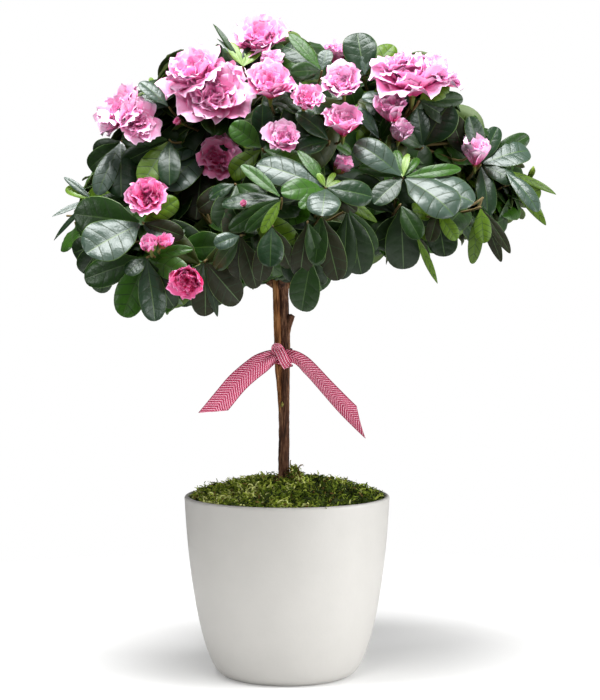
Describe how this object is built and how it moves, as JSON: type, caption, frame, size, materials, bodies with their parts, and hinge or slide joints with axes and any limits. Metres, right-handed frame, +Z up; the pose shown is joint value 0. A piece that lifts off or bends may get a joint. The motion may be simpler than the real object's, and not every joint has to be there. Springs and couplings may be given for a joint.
{
  "type": "flowering azalea standard in a pot",
  "caption": "Small azalea trained as a standard: bare stem, round head of leaves and double pink flowers, moss, ribbon and a plain round pot.",
  "frame": {"origin": "middle of the pot's flat underside", "axes": "+Z up along the pot's axis, -Y towards the front, +X to the right seen from the front"},
  "size_m": [0.3891, 0.3694, 0.5136],
  "materials": {
    "pot": "satin",
    "soil": "matte",
    "moss": "matte",
    "bark": "matte",
    "leaf": "satin",
    "blossom": "matte",
    "ribbon": "satin"
  },
  "bodies": {
    "root": {"bough_skirt_back": "bark", "bough_skirt_back_left": "bark", "bough_skirt_back_right": "bark", "bough_skirt_front": "bark", "bough_skirt_front_left": "bark", "bough_skirt_front_right": "bark", "bough_skirt_left": "bark", "bough_skirt_right": "bark", "bough_upper_back_left": "bark", "bough_upper_back_right": "bark", "bough_upper_front": "bark", "bough_upper_left": "bark", "bough_upper_right": "bark", "foliage_skirt_back": "leaf", "foliage_skirt_back_left": "leaf", "foliage_skirt_back_right": "leaf", "foliage_skirt_front": "leaf", "foliage_skirt_front_left": "leaf", "foliage_skirt_front_right": "leaf", "foliage_skirt_left": "leaf", "foliage_skirt_right": "leaf", "foliage_top": "leaf", "foliage_upper_back_left": "leaf", "foliage_upper_back_right": "leaf", "foliage_upper_front": "leaf", "foliage_upper_left": "leaf", "foliage_upper_right": "leaf", "moss": "moss", "pot": "pot", "potting_soil": "soil", "ribbon_knot": "ribbon", "ribbon_tail_left": "ribbon", "ribbon_tail_right": "ribbon", "trunk": "bark"}
  },
  "joints": []
}
